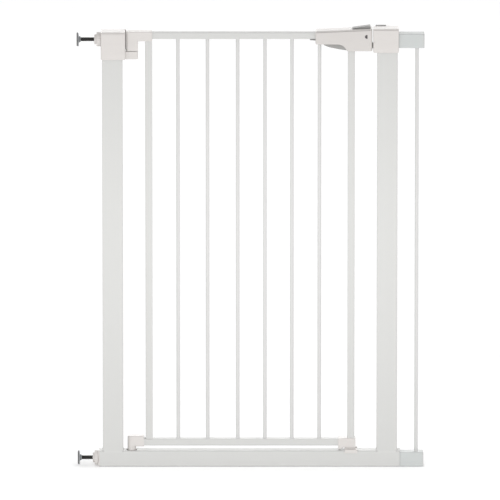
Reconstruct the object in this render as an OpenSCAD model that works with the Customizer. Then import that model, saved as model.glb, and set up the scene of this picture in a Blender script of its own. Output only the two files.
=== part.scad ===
// Extra-tall pressure-fit baby gate with one side extension, as separate pieces.
// Millimetres, Z up, front towards -Y, origin under the middle of the whole gate.

/* [Frame] */
// Left face of the left post
post_l_x = -361.5; // [-380:0.5:-340]
// Left face of the right post
post_r_x = 307.9; // [290:0.1:330]
// Width of each post
post_w = 50; // [40:1:60]
// Depth of the posts and the base rail, front to back
frame_d = 30; // [25:1:40]
// Height of the base rail
rail_h = 40; // [30:1:50]
// Wall of the frame tubes
frame_t = 1.2; // [1:0.1:3]
// Outside corner radius of the frame tubes
frame_r = 3; // [1:0.5:6]
// Left end of the base rail tube
rail_l_x = -369.5; // [-380:0.5:-360]
// Right end of the base rail tube
rail_r_x = 364.3; // [355:0.1:375]

/* [Door] */
// Width of the door tubes seen from the front
tube_w = 17; // [14:0.5:22]
// Depth of the door tubes
tube_d = 18; // [14:0.5:22]
// Wall of the door tubes
tube_t = 1.2; // [0.8:0.1:2]
// Underside of the door's bottom rail
door_z = 52; // [45:0.5:60]
// Top of the door's top rail
door_top = 1095; // [1000:1:1120]
// Centre of the left stile
stile_l_x = -248; // [-260:0.5:-230]
// Centre of the right stile
stile_r_x = 245; // [230:0.5:260]
// Diameter of the upright bars
bar_d = 9; // [8:0.5:12]
// Wall of the upright bars
bar_t = 0.9; // [0.6:0.1:2]
// Centres of the six bars
bar_x = [-176.9, -105, -31.5, 34.9, 100.6, 167.6];

/* [Hinge] */
// Hinge axis, left of centre
hinge_x = -290.6; // [-300:0.1:-280]
// Top of the hinge arm
arm_z = 1047.5; // [1030:0.5:1060]
// Width of the door's hinge block
block_d = 22.8; // [18:0.2:26]
// Diameter of the lower elbow
elbow_d = 21; // [18:0.5:24]
// Height of the upper hinge housing
hinge_top = 1097; // [1080:1:1110]

/* [Handle] */
// Left end of the handle
handle_l = 157.6; // [140:0.1:170]
// Right end of the handle
handle_r = 295.7; // [290:0.1:300]
// Top of the handle at its left end
handle_z1 = 1099; // [1090:0.5:1105]
// Top of the handle at its right end
handle_z2 = 1105; // [1095:0.5:1110]
// Depth of the handle
handle_d = 34; // [28:1:38]
// Travel of the latch bolt and of the thumb slider
latch_travel = 9; // [8:0.5:10]

/* [Latch post] */
// Left face of the latch housing
latch_l = 298.2; // [297:0.1:302]
// Right face of the latch housing
latch_r = 360.6; // [359:0.1:364]
// Underside of the latch housing
latch_z = 1046; // [1030:1:1060]
// Top of the latch housing
latch_top = 1106; // [1100:1:1110]
// Depth of the two post housings
housing_d = 40; // [36:1:50]

/* [Extension] */
// Height of the extension tubes
ext_h = 36; // [30:1:40]
// Depth of the extension tubes
ext_d = 28; // [24:1:30]
// Outer face of the extension
ext_end = 423; // [400:1:500]
// Centre of the extension bar
ext_bar_x = 404.8; // [390:0.1:410]
// Underside of the upper extension tube
ext_top_z = 1056.5; // [1040:0.5:1070]

/* [Spindles] */
// Thread diameter of the spindles
rod_d = 10; // [8:1:12]
// Wall face of the spindle pads
pad_x = -423; // [-440:1:-410]
// Diameter of the wall discs
disc_d = 35; // [30:1:40]
// Diameter of the adjusting wheels
nut_d = 34.6; // [30:0.2:38]
// Height of the upper spindle
rod_hi_z = 1076; // [1060:1:1085]
// Height of the lower spindle
rod_lo_z = 20; // [15:1:25]

/* [Fits] */
// Radial running clearance of turning and sliding shafts
run = 0.05; // [0.02:0.01:0.1]
// Gap beside plain sliding faces
slide_gap = 0.3; // [0.1:0.05:0.5]

/* [Hidden] */
post_l_r = post_l_x + post_w;
post_r_r = post_r_x + post_w;
post_l_mid = post_l_x + post_w / 2;
post_r_mid = post_r_x + post_w / 2;
fy = frame_d / 2;
hy = housing_d / 2;
gy = handle_d / 2;
by = block_d / 2;
block_round = 5.1;
ty = tube_d / 2;
tx = tube_w / 2;
rail_top_z = door_top - tube_w;
foot_rest = 36.2;
journal_z = 34;
post_l_top = hinge_top - 9;
post_r_top = latch_top - 8;
hinge_cap_r = post_l_r + 6.5;
slope = (handle_z2 - handle_z1) / (handle_r - handle_l);
pivot = [168, 1072.4];
cam = [226, 1066];
squeeze = 8;
bolt_z1 = 1054;
bolt_z2 = 1068;
bolt_y = 3.9;
e = 0.5;

function arc(cx, cy, r, a0, a1, n = 5) =
    [for (i = [0:n]) [cx + r * cos(a0 + (a1 - a0) * i / n), cy + r * sin(a0 + (a1 - a0) * i / n)]];
function rrect(x0, y0, x1, y1, r, n = 4) = concat(
    arc(x1 - r, y0 + r, r, -90, 0, n),
    arc(x1 - r, y1 - r, r, 0, 90, n),
    arc(x0 + r, y1 - r, r, 90, 180, n),
    arc(x0 + r, y0 + r, r, 180, 270, n));
function handle_top(x) = handle_z1 + slope * (x - handle_l);

// Extrusions that take their outline in the plane they are seen in.
module on_z(z0, z1) translate([0, 0, z0]) linear_extrude(height = z1 - z0) children();
module on_x(x0, x1) translate([x0, 0, 0]) rotate([90, 0, 90]) linear_extrude(height = x1 - x0) children();
module on_y(y0, y1) translate([0, y1, 0]) rotate([90, 0, 0]) linear_extrude(height = y1 - y0) children();
module bar(z0, z1, x) difference() {
    rod_z(z0, z1, x, bar_d);
    rod_z(z0 - 1, z1 + 1, x, bar_d - 2 * bar_t);
}
module box(x0, y0, z0, x1, y1, z1) translate([x0, y0, z0]) cube([x1 - x0, y1 - y0, z1 - z0]);
module rod_x(x0, x1, z, d) translate([x0, 0, z]) rotate([0, 90, 0]) cylinder(h = x1 - x0, d = d, $fn = 48);
module rod_y(y0, y1, x, z, d) translate([x, y1, z]) rotate([90, 0, 0]) cylinder(h = y1 - y0, d = d, $fn = 32);
module rod_z(z0, z1, x, d) translate([x, 0, z0]) cylinder(h = z1 - z0, d = d, $fn = 48);

// A rounded rectangular tube; the outline is given by its two corners.
module tube_outline(a, b, r, t) difference() {
    polygon(rrect(a.x, a.y, b.x, b.y, r));
    polygon(rrect(a.x + t, a.y + t, b.x - t, b.y - t, max(r - t, 0.6)));
}

// ---------------------------------------------------------------- fixed frame
module base_rail() color([0.86, 0.86, 0.84]) difference() {
    on_x(rail_l_x, rail_r_x) tube_outline([-fy, 0], [fy, rail_h], frame_r, frame_t);
    rod_z(rail_h - 10, rail_h + 1, hinge_x, 26);
}

module post(x0, top) on_z(rail_h, top) tube_outline([x0, -fy], [x0 + post_w, fy], frame_r, frame_t);

module left_post() color([0.88, 0.88, 0.86]) difference() {
    post(post_l_x, post_l_top);
    rod_x(post_l_x - 1, post_l_x + 8, rod_hi_z, 14);
    rod_y(fy - 3, fy + 1, post_l_mid, 1038, 3.4);
}

module right_post() color([0.88, 0.88, 0.86]) difference() {
    post(post_r_x, post_r_top);
    rod_x(post_r_r - 4, post_r_r + 1, ext_top_z + ext_h / 2, rod_d);
    rod_y(fy - 3, fy + 1, post_r_mid, 1062, 3.4);
}

// Plug in a rail end: a flange the size of the rail and a body inside it.
module rail_plug(x0, x1, x2, bore) difference() {
    union() {
        on_x(min(x0, x1), max(x0, x1)) polygon(rrect(-fy, 0, fy, rail_h, frame_r));
        on_x(min(x1, x2), max(x1, x2))
            polygon(rrect(-fy + frame_t, frame_t, fy - frame_t, rail_h - frame_t, frame_r - frame_t));
    }
    rod_x(min(x0, x2) - 1, max(x0, x2) + 1, rod_lo_z, bore);
}

module base_plug_left() color([0.93, 0.92, 0.90]) rail_plug(rail_l_x - 4, rail_l_x, rail_l_x + 24, rod_d + 2 * run);
module base_plug_right() color([0.93, 0.92, 0.90]) rail_plug(rail_r_x + 1.7, rail_r_x, rail_r_x - 16, rod_d);

// Cap on the left post: carries the upper spindle and, on its arm, the upper hinge pin.
module hinge_housing() color([0.93, 0.92, 0.90]) difference() {
    union() {
        intersection() {
            on_x(post_l_x - 3, hinge_cap_r) polygon(rrect(-hy, 1028, hy, hinge_top, 3));
            on_y(-hy, hy) polygon(rrect(post_l_x - 3, 1028, hinge_cap_r, hinge_top, 2.5));
        }
        on_z(arm_z - 4, hinge_top) polygon(rrect(post_l_r, by + 1.4, hinge_x - by - 0.6, hy, 1));
        on_z(1028, arm_z) polygon(rrect(post_l_r, -by, hinge_x + 16.6, by, 3));
    }
    difference() {
        box(post_l_x, -fy, 1020, post_l_r, fy, post_l_top);
        box(post_l_x + 2, -fy + 2, 1056, post_l_r - 2, fy - 2, post_l_top + 1);
    }
    rod_x(post_l_x - 4, post_l_r - 1, rod_hi_z, rod_d + 2 * run);
    rod_z(1020, arm_z + 1, hinge_x, 8 + 2 * run);
    rod_y(fy - 1, hy + 1, post_l_mid, 1038, 3.4);
    rod_y(hy - 2.4, hy + 1, post_l_mid, 1038, 7);
}

// Screw from the rear: pan head let in flush, plain shank.
module screw(x, z, face, depth, d, head) union() {
    rod_y(face - depth, face - 2.2, x, z, d);
    rod_y(face - 2.4, face, x, z, head);
}

module hinge_screw() color([0.70, 0.71, 0.72]) screw(post_l_mid, 1038, hy, 9, 3.4, 7);
module latch_screw() color([0.70, 0.71, 0.72]) screw(post_r_mid, 1062, hy, 9, 3.4, 7);

// Column inside the base rail that holds the lower hinge pin; its rim shows as a cup.
module lower_hinge_cup() color([0.62, 0.62, 0.61]) difference() {
    rod_z(frame_t + 0.5, rail_h - 0.8, hinge_x, 26);
    rod_z(journal_z, rail_h, hinge_x, 22.6);
    rod_z(14, journal_z + 1, hinge_x, 10 + 2 * run);
}

// Saddle on the base rail: front and rear lips hold the closed door's foot.
module door_keeper() color([0.93, 0.92, 0.90]) difference() {
    on_x(230, 261) polygon([
        [-fy - 1.6, 34.8], [-fy, 34.8], [-fy, 37], [-fy + 0.9, 39.1], [-fy + frame_r, rail_h],
        [fy - frame_r, rail_h], [fy - 0.9, 39.1], [fy, 37], [fy, 34.8], [fy + 1.6, 34.8],
        [fy + 1.6, 42.3], [fy + 0.4, 43.5], [11.6, 43.5], [10, 41.3], [-10, 41.3], [-11.6, 43.5],
        [-fy - 0.4, 43.5], [-fy - 1.6, 42.3]]);
    base_rail();
}

// Cap on the right post with the pocket for the latch bolt and the track of the stop slider.
module latch_housing() color([0.93, 0.92, 0.90]) difference() {
    intersection() {
        on_x(latch_l, latch_r) polygon(rrect(-hy, latch_z, hy, latch_top, 3));
        on_y(-hy, hy) polygon(rrect(latch_l, latch_z, latch_r, latch_top, 2));
    }
    box(post_r_x, -fy, latch_z - 1, post_r_r, fy, post_r_top);
    box(latch_l - 1, -6, 1052, 305.6, 6, 1075.6);
    box(latch_l - 1, gy + 0.2, 1091.8, 330.3, hy + 1, latch_top + 1);
    box(latch_l - 1, 13.2, 1103.8, 330.3, hy + 1, latch_top + 1);
    rod_x(post_r_r - 1, latch_r + 1, ext_top_z + ext_h / 2, rod_d);
    rod_y(fy - 1, hy + 1, post_r_mid, 1062, 3.4);
    rod_y(hy - 2.4, hy + 1, post_r_mid, 1062, 7);
}

// Steel sleeve that lines the bolt pocket.
module striker_plate() color([0.72, 0.73, 0.74])
    on_x(latch_l + 0.4, 305.6) difference() {
        polygon(rrect(-6, 1052, 6, 1075.6, 0.6, 2));
        polygon(rrect(-4.6, 1053.4, 4.6, 1074.2, 0.5, 2));
    }

// Slider behind the latch housing that stops the door from opening to the rear.
module stop_slider() color([0.62, 0.62, 0.62]) union() {
    box(latch_l + 0.3, gy + 0.4, 1092, 330, hy, 1104.6);
    on_x(304, 330) polygon([[13.5, 1104], [hy, 1104], [hy, 1106.8], [hy - 0.8, 1107.6], [14.3, 1107.6], [13.5, 1106.8]]);
}

// ------------------------------------------------------------------ extension
module ext_tube(x0, z0) on_x(x0, ext_end - 3)
    tube_outline([-ext_d / 2, z0], [ext_d / 2, z0 + ext_h], frame_r, frame_t);

module ext_plug(x0, x1, z0) on_x(x0, x1) difference() {
    polygon(rrect(-ext_d / 2 + frame_t, z0 + frame_t, ext_d / 2 - frame_t, z0 + ext_h - frame_t, frame_r - frame_t));
    translate([0, z0 > 500 ? z0 + ext_h / 2 : rod_lo_z]) circle(d = rod_d, $fn = 48);
}

module ext_cap(z0) difference() {
    union() {
        on_x(ext_end - 3, ext_end) polygon(rrect(-ext_d / 2, z0, ext_d / 2, z0 + ext_h, frame_r));
        on_x(ext_end - 15, ext_end - 3)
            polygon(rrect(-ext_d / 2 + frame_t, z0 + frame_t, ext_d / 2 - frame_t, z0 + ext_h - frame_t, frame_r - frame_t));
    }
    rod_x(ext_end - 16, ext_end + 1, z0 + ext_h / 2, rod_d + 0.4);
}

module ext_top_tube() color([0.82, 0.82, 0.82]) ext_tube(latch_r, ext_top_z);
module ext_bottom_tube() color([0.82, 0.82, 0.82]) ext_tube(rail_r_x + 1.7, 0);
module ext_bar() color([0.87, 0.87, 0.86]) bar(ext_h, ext_top_z, ext_bar_x);
module ext_top_cap() color([0.82, 0.82, 0.82]) ext_cap(ext_top_z);
module ext_bottom_cap() color([0.82, 0.82, 0.82]) ext_cap(0);
module ext_top_plug() color([0.82, 0.82, 0.82]) ext_plug(latch_r + 1, latch_r + 20, ext_top_z);
module ext_bottom_plug() color([0.82, 0.82, 0.82]) ext_plug(rail_r_x + 2.5, rail_r_x + 20, 0);
module ext_top_stud() color([0.55, 0.56, 0.57]) rod_x(340, latch_r + 24, ext_top_z + ext_h / 2, rod_d);
module ext_bottom_stud() color([0.55, 0.56, 0.57]) rod_x(346, rail_r_x + 24, rod_lo_z, rod_d);

// ----------------------------------------------------------------- hinge pins
module upper_hinge_pin() color([0.70, 0.71, 0.72]) union() {
    rod_z(1029, arm_z + 1, hinge_x, 8);
    rod_z(arm_z + run, arm_z + 2, hinge_x, 14);
    box(hinge_x - 3.5, -3.5, arm_z + 1.5, hinge_x + 3.5, 3.5, 1083);
}

module lower_hinge_pin() color([0.70, 0.71, 0.72]) union() {
    rod_z(16, journal_z + 1, hinge_x, 10);
    rod_z(journal_z + run, foot_rest - run, hinge_x, 16);
    box(hinge_x - 4, -4, foot_rest - 1, hinge_x + 4, 4, 63);
}

// ----------------------------------------------------------------------- door
module door_top_rail() color([0.88, 0.88, 0.86])
    on_x(-283, stile_r_x + tx) tube_outline([-ty, rail_top_z], [ty, door_top], 2, tube_t);

module door_bottom_rail() color([0.87, 0.87, 0.85])
    on_x(-280, stile_r_x + tx) tube_outline([-ty, door_z], [ty, door_z + tube_w], 2, tube_t);

module stile(x) on_z(door_z + tube_w, rail_top_z) tube_outline([x - tx, -ty], [x + tx, ty], 2, tube_t);

module door_left_stile() color([0.88, 0.88, 0.86]) stile(stile_l_x);

module door_right_stile() color([0.88, 0.88, 0.86]) difference() {
    stile(stile_r_x);
    box(stile_r_x - 10, -bolt_y - slide_gap, 1053.4, stile_r_x + 10, bolt_y + slide_gap, rail_top_z + 1);
}

module door_bar(i) color([0.88, 0.88, 0.87]) bar(door_z + tube_w, rail_top_z, bar_x[i]);
module door_bar_1() door_bar(0);
module door_bar_2() door_bar(1);
module door_bar_3() door_bar(2);
module door_bar_4() door_bar(3);
module door_bar_5() door_bar(4);
module door_bar_6() door_bar(5);

// Block on the upper hinge pin, with the sleeve that takes the top rail and the left stile.
module door_hinge_block() color([0.93, 0.92, 0.90]) difference() {
    union() {
        on_z(arm_z + 1, hinge_top) polygon(concat(
            arc(hinge_x - by + block_round, by - block_round, block_round, 90, 180, 6),
            arc(hinge_x - by + block_round, block_round - by, block_round, 180, 270, 6),
            arc(hinge_x + 14.6, -by + 2, 2, -90, 0, 3),
            arc(hinge_x + 14.6, by - 2, 2, 0, 90, 3)));
        on_x(hinge_x + 10, stile_l_x + tx) polygon(rrect(-by, 1073, by, hinge_top, 2));
    }
    box(-283, -ty, rail_top_z, stile_l_x + tx + 1, ty, door_top);
    box(stile_l_x - tx, -ty, 1072, stile_l_x + tx + 1, ty, rail_top_z + 1);
    box(hinge_x - 3.6, -3.6, arm_z, hinge_x + 3.6, 3.6, 1089);
    rod_z(arm_z, arm_z + 2.3, hinge_x, 15);
}

// Elbow under the door's lower left corner; its round foot stands in the cup.
module lower_elbow() color([0.93, 0.92, 0.90]) difference() {
    union() {
        rod_z(foot_rest, 74.5, hinge_x, elbow_d);
        rod_z(74, 76, hinge_x, elbow_d - 3);
        on_x(hinge_x, -260.6) polygon(rrect(-elbow_d / 2, 50, elbow_d / 2, 76, 2.5));
    }
    box(-280, -ty, door_z, -260, ty, door_z + tube_w);
    box(hinge_x - 4.1, -4.1, foot_rest - 1, hinge_x + 4.1, 4.1, 70);
}

// Boot on the lower right corner; the foot below it drops between the keeper's lips.
module corner_block() color([0.93, 0.92, 0.90]) difference() {
    on_y(-11, 11) polygon(concat(
        [[229.8, 41.7]],
        arc(255, 43.2, 1.5, -90, 0, 3),
        arc(254.5, 69, 2, 0, 90, 3),
        arc(216, 69, 2, 90, 180, 3),
        arc(216, 51.8, 2, 180, 270, 3),
        [[233.6, 49.8], [229.8, 43.5]]));
    box(213, -ty, door_z, stile_r_x + tx, ty, door_z + tube_w);
    box(stile_r_x - tx, -ty, door_z + tube_w - 1, stile_r_x + tx, ty, 72);
    box(229, -12, 41, 257, -9.2, 48.5);
    box(229, 9.2, 41, 257, 12, 48.5);
}

// ------------------------------------------------------------------ the handle
handle_line = concat(
    arc(handle_r - 2, 1051, 2, -90, 0, 3),
    arc(handle_r - 2, handle_z2 - 2.2, 2, 0, 88, 3),
    arc(handle_l + 2, handle_z1 - 2, 2, 92, 180, 3),
    arc(handle_l + 2, 1068, 2, 180, 270, 3),
    arc(213, 1040, 26, 90, 50, 8),
    [[233, 1050.5], [235, 1049]]);

module handle_solid() intersection() {
    on_y(-gy, gy) polygon(handle_line);
    on_z(1040, 1110) polygon(rrect(handle_l, -gy, handle_r, gy, 3));
}

// Everything cut out of the two half shells: rail, stile, trigger, bolt, slider and springs.
module handle_voids() {
    box(handle_l - 1, -ty, rail_top_z, stile_r_x + tx, ty, door_top);
    box(stile_r_x - tx, -ty, 1045, stile_r_x + tx, ty, rail_top_z + e);
    on_y(-11.4, 11.4) polygon([
        [161, 1068.2], [174.6, 1068.2], [174.6, 1040], [stile_r_x - tx, 1040],
        [stile_r_x - tx, rail_top_z - 0.6], [161, rail_top_z - 0.6]]);
    rod_z(1040, rail_top_z + e, bar_x[5], bar_d);
    box(handle_l - 1, -8.4, 1070.6, 161.5, 8.4, rail_top_z - 0.6);
    box(stile_r_x, -bolt_y - slide_gap, bolt_z1 - 0.4, handle_r + 1, bolt_y + slide_gap, bolt_z2 + 0.4);
    box(252.6, -4.3, 1100, 275.4, 4.3, 1110);
    box(248.4, -7.3, 1096.6, 279.7, 7.3, 1101.1);
    box(279, -2.7, 1096.6, 292.4, 2.7, 1101.1);
    box(257, -14.4, 1079, 292.6, 14.4, 1093.5);
    rod_y(-14.2, 14.2, pivot.x, pivot.y, 4);
    rod_y(-9, gy - 2.2, 225, 1098.4, 2.6);
    rod_y(-9, gy - 2.2, 288, 1073.8, 2.6);
    rod_y(-9, gy - 2.2, 262, 1073.8, 2.6);
    rod_y(gy - 2.4, gy + 1, 225, 1098.4, 5);
    rod_y(gy - 2.4, gy + 1, 288, 1073.8, 5);
    rod_y(gy - 2.4, gy + 1, 262, 1073.8, 5);
}

function half_moon(r) = concat(arc(282.6, 1086, r, 70, 290, 12), [[282.6 + r * 0.34, 1086]]);

module handle_front() color([0.93, 0.92, 0.90]) difference() {
    handle_solid();
    box(100, 0, 1000, 320, 40, 1200);
    handle_voids();
    on_y(-gy - 1, -gy + 2.6) polygon(half_moon(4.8));
}

module handle_rear() color([0.93, 0.92, 0.90]) difference() {
    handle_solid();
    box(100, -40, 1000, 320, 0, 1200);
    handle_voids();
}

module handle_screw_1() color([0.70, 0.71, 0.72]) screw(225, 1098.4, gy, gy + 9, 2.6, 5);
module handle_screw_2() color([0.70, 0.71, 0.72]) screw(288, 1073.8, gy, gy + 9, 2.6, 5);
module handle_screw_3() color([0.70, 0.71, 0.72]) screw(262, 1073.8, gy, gy + 9, 2.6, 5);

// Dark insert in the handle's front that shows the state of the lock.
module lock_indicator() color([0.25, 0.24, 0.25]) on_y(-gy + 0.4, -gy + 2.6) polygon(half_moon(4.8));

// Two stubs, one in each shell, so that the last bar passes between them.
module trigger_pin() color([0.70, 0.71, 0.72]) {
    rod_y(-14.2, -5.2, pivot.x, pivot.y, 4);
    rod_y(5.2, 14.2, pivot.x, pivot.y, 4);
}

// Coil round the rear stub, in a pocket of the trigger, with its two short legs.
module trigger_spring() color([0.55, 0.56, 0.57]) union() {
    difference() {
        rod_y(8, 11.2, pivot.x, pivot.y, 6.6);
        rod_y(7, 12, pivot.x, pivot.y, 4.6);
    }
    box(pivot.x - 0.4, 8, pivot.y + 2.6, pivot.x + 0.4, 8.8, pivot.y + 4.4);
    box(pivot.x + 2.6, 10.4, pivot.y - 0.8, pivot.x + 4.4, 11.2, pivot.y);
}

// Spring that pulls the thumb slider back to its locked end.
module slider_spring() color([0.55, 0.56, 0.57]) difference() {
    rod_x(279, 292.4, 1098.9, 4);
    rod_x(280, 291.4, 1098.9, 2.6);
}

// Squeeze lever below the handle, hollow so that the bolt's tail runs inside it.
module trigger() color([0.60, 0.60, 0.60]) difference() {
    union() {
        on_y(-11, 11) polygon(concat(
            arc(pivot.x, pivot.y, 3.6, 90, 260, 8),
            [[175, 1068.9], [175.4, 1067], [179, 1062.6], [187, 1059.2], [201, 1055.6], [215, 1053]],
            [[224, 1051.2], [233, 1050.2], [233, 1066.5], [224, 1069], [212, 1071], [190, 1073.5]]));
        on_y(-8, 8) polygon([[144, 1075.4], [168, 1073], [168, 1076], [164, 1077.2], [144, 1077.2]]);
    }
    on_y(-5, 5) polygon([[207, 1057.3], [215, 1054.6], [224, 1052.8], [234, 1051.7], [234, 1080], [207, 1080]]);
    box(pivot.x - 5, -5, 1066, pivot.x + 6.6, 5, 1079);
    rod_y(7.5, 12, pivot.x, pivot.y, 10);
    rod_y(-12, 12, pivot.x, pivot.y, 4 + 2 * run);
    rod_y(-12, 12, cam.x, cam.y, 2.5);
}

module cam_pin() color([0.70, 0.71, 0.72]) rod_y(-10.5, 10.5, cam.x, cam.y, 2.5);

// Latch bolt: the tongue passes through the stile; the trigger's pin pulls it by the sloping slot.
slot_dx = latch_travel + 0.33;
slot_dz = 8.13;
slot_a = atan2(slot_dz, slot_dx);
slot_l = sqrt(slot_dx * slot_dx + slot_dz * slot_dz);

module latch_bolt() color([0.90, 0.90, 0.89]) on_y(-bolt_y, bolt_y) difference() {
    polygon([
        [223, 1062.6], [246.5, 1062.6], [246.5, bolt_z1], [303, bolt_z1], [304.2, bolt_z1 + 1.2],
        [304.2, bolt_z2 - 1.2], [303, bolt_z2], [250.5, bolt_z2], [250.5, 1077], [221, 1077], [221, 1064.6]]);
    translate([cam.x, cam.y]) rotate(slot_a) translate([-1.55, -1.5]) square([slot_l + 3.1, 3]);
}

// Thumb slider: wedge on top of the handle, stem through the slot, catch plate below.
module thumb_slider() color([0.66, 0.66, 0.66]) union() {
    on_y(-9, 9) polygon([
        [247, handle_top(247) + 0.2], [292, handle_top(292) + 0.2], [292, 1109.6], [290.6, 1111.2],
        [287, 1111.2], [248.4, 1105.6], [247, 1104.6]]);
    box(262, -4, 1099, 275, 4, 1105);
    box(258, -7, 1097.4, 279, 7, 1100.4);
}

// ------------------------------------------------------------------- spindles
module spindle_rod(x1, z) rod_x(pad_x + 5, x1, z, rod_d);
module spindle_disc(z) difference() {
    union() {
        rod_x(pad_x + 2.5, pad_x + 5.5, z, disc_d);
        rod_x(pad_x + 5, pad_x + 9.4, z, 15);
    }
    rod_x(pad_x + 5, pad_x + 10, z, rod_d);
}
module wall_pad(z) rod_x(pad_x, pad_x + 2.5, z, disc_d - 1.6);

// Ribbed adjusting wheel with a round collar.
module spindle_nut(x0, xc, x1, z) difference() {
    union() {
        rod_x(x0, xc + 1, z, 25);
        on_x(xc, x1) polygon([for (i = [0:47])
            [(nut_d / 2 - (i % 2) * 0.8) * cos(i * 7.5), z + (nut_d / 2 - (i % 2) * 0.8) * sin(i * 7.5)]]);
    }
    rod_x(x0 - 1, x1 + 1, z, rod_d + 2 * run);
}

module upper_spindle_rod() color([0.30, 0.30, 0.30]) spindle_rod(-345, rod_hi_z);
module upper_spindle_disc() color([0.60, 0.61, 0.62]) spindle_disc(rod_hi_z);
module upper_wall_pad() color([0.30, 0.30, 0.30]) wall_pad(rod_hi_z);
module upper_nut() color([0.93, 0.92, 0.91]) spindle_nut(-380.4, -374.8, post_l_x - 3.1, rod_hi_z);
module lower_spindle_rod() color([0.30, 0.30, 0.30]) spindle_rod(-350, rod_lo_z);
module lower_spindle_disc() color([0.60, 0.61, 0.62]) spindle_disc(rod_lo_z);
module lower_wall_pad() color([0.30, 0.30, 0.30]) wall_pad(rod_lo_z);
module lower_nut() color([0.93, 0.92, 0.91]) spindle_nut(-386.5, -382.1, rail_l_x - 4.1, rod_lo_z);

base_rail();
base_plug_left();
base_plug_right();
left_post();
right_post();
hinge_housing();
hinge_screw();
lower_hinge_cup();
door_keeper();
latch_housing();
latch_screw();
striker_plate();
stop_slider();
ext_top_tube();
ext_bottom_tube();
ext_bar();
ext_top_cap();
ext_bottom_cap();
ext_top_plug();
ext_bottom_plug();
ext_top_stud();
ext_bottom_stud();
upper_hinge_pin();
lower_hinge_pin();
door_top_rail();
door_bottom_rail();
door_left_stile();
door_right_stile();
door_bar_1();
door_bar_2();
door_bar_3();
door_bar_4();
door_bar_5();
door_bar_6();
door_hinge_block();
lower_elbow();
corner_block();
handle_front();
handle_rear();
handle_screw_1();
handle_screw_2();
handle_screw_3();
lock_indicator();
trigger_pin();
trigger_spring();
slider_spring();
trigger();
cam_pin();
latch_bolt();
thumb_slider();
upper_spindle_rod();
upper_spindle_disc();
upper_wall_pad();
upper_nut();
lower_spindle_rod();
lower_spindle_disc();
lower_wall_pad();
lower_nut();
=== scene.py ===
# %% [markdown]
# # A tall pressure-fit baby gate
# A gate like this is a welded frame of steel tube, a welded door that hangs in it, and a
# handful of moulded plastic caps, nuts and latch pieces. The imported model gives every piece
# its true size and place. Here each visible piece is built again with the roundings, threads,
# ribs and joint lines of the real one, and each gets a finish made of shader nodes.
# Everything is in metres, and the helpers below take millimetres, as a drawing would.

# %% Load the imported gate
import math
import bmesh
import bpy
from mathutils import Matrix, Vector


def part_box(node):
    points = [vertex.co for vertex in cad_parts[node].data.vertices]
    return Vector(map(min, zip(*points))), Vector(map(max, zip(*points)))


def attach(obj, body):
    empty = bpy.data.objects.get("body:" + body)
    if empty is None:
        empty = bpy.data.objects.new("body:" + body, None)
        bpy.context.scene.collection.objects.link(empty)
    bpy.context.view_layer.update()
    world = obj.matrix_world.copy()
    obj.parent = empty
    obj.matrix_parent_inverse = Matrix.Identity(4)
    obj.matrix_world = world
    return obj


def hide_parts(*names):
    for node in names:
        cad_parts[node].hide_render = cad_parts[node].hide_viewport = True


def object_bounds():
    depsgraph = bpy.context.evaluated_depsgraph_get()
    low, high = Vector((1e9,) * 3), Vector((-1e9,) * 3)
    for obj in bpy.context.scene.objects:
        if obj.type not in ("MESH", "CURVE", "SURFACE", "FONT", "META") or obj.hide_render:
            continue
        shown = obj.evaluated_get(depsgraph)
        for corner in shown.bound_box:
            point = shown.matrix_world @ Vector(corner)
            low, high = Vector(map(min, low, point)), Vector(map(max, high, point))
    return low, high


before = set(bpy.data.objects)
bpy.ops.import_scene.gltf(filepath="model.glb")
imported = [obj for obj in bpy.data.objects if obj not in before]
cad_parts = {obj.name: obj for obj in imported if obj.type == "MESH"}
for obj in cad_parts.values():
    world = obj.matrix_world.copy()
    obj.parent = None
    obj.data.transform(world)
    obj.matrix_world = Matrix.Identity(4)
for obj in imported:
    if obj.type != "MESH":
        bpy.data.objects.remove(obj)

cad_box = [list(corner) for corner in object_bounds()]
scene = bpy.context.scene
print("gate size in metres:", [round(hi - lo, 4) for lo, hi in zip(*cad_box)])

# %% [markdown]
# ## Camera
# A gate is shown square on, from a little above, with a long lens. Far away and zoomed in,
# the upright tubes stay parallel, so the outline reads as a drawing does. The camera looks
# down by 15 degrees, which lets the tops of the rails and caps show.

# %% Camera
CAMERA_DISTANCE = 40.0
CAMERA_TILT = math.radians(15)
FRAME_WIDTH = 1.22
look_at = Vector((-0.0015, 0.0, 0.5453))

camera_data = bpy.data.cameras.new("camera")
camera_data.sensor_width = 36
camera_data.lens = 36 * CAMERA_DISTANCE / FRAME_WIDTH
camera_data.clip_end = 200
camera = bpy.data.objects.new("camera", camera_data)
camera.location = look_at + Vector((0, -math.cos(CAMERA_TILT), math.sin(CAMERA_TILT))) * CAMERA_DISTANCE
camera.rotation_euler = (math.pi / 2 - CAMERA_TILT, 0, 0)
scene.collection.objects.link(camera)
scene.camera = camera
print("lens", round(camera_data.lens), "mm at", CAMERA_DISTANCE, "m")

# %% [markdown]
# ## Shader helpers
# Colours are picked as sRGB hex values, the numbers of a colour picker, and shaders work in
# linear light, so one function converts. One more adds a node with its settings and its
# links, which keeps each material down to the lines that matter.


# %% Colour and node helpers
def linear(hex_colour):
    parts = [int(hex_colour[i:i + 2], 16) / 255 for i in (1, 3, 5)]
    return tuple(p / 12.92 if p <= 0.04045 else ((p + 0.055) / 1.055) ** 2.4 for p in parts) + (1.0,)


def add(tree, kind, links=None, values=None, **settings):
    node = tree.nodes.new(kind)
    for name, value in settings.items():
        setattr(node, name, value)
    for name, value in (values or {}).items():
        node.inputs[name].default_value = value
    for name, source in (links or {}).items():
        tree.links.new(source, node.inputs[name])
    return node


def new_material(name):
    material = bpy.data.materials.new(name)
    material.use_nodes = True
    material.node_tree.nodes.clear()
    return material, material.node_tree


print("mid grey in linear light:", round(linear("#808080")[0], 3))

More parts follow.
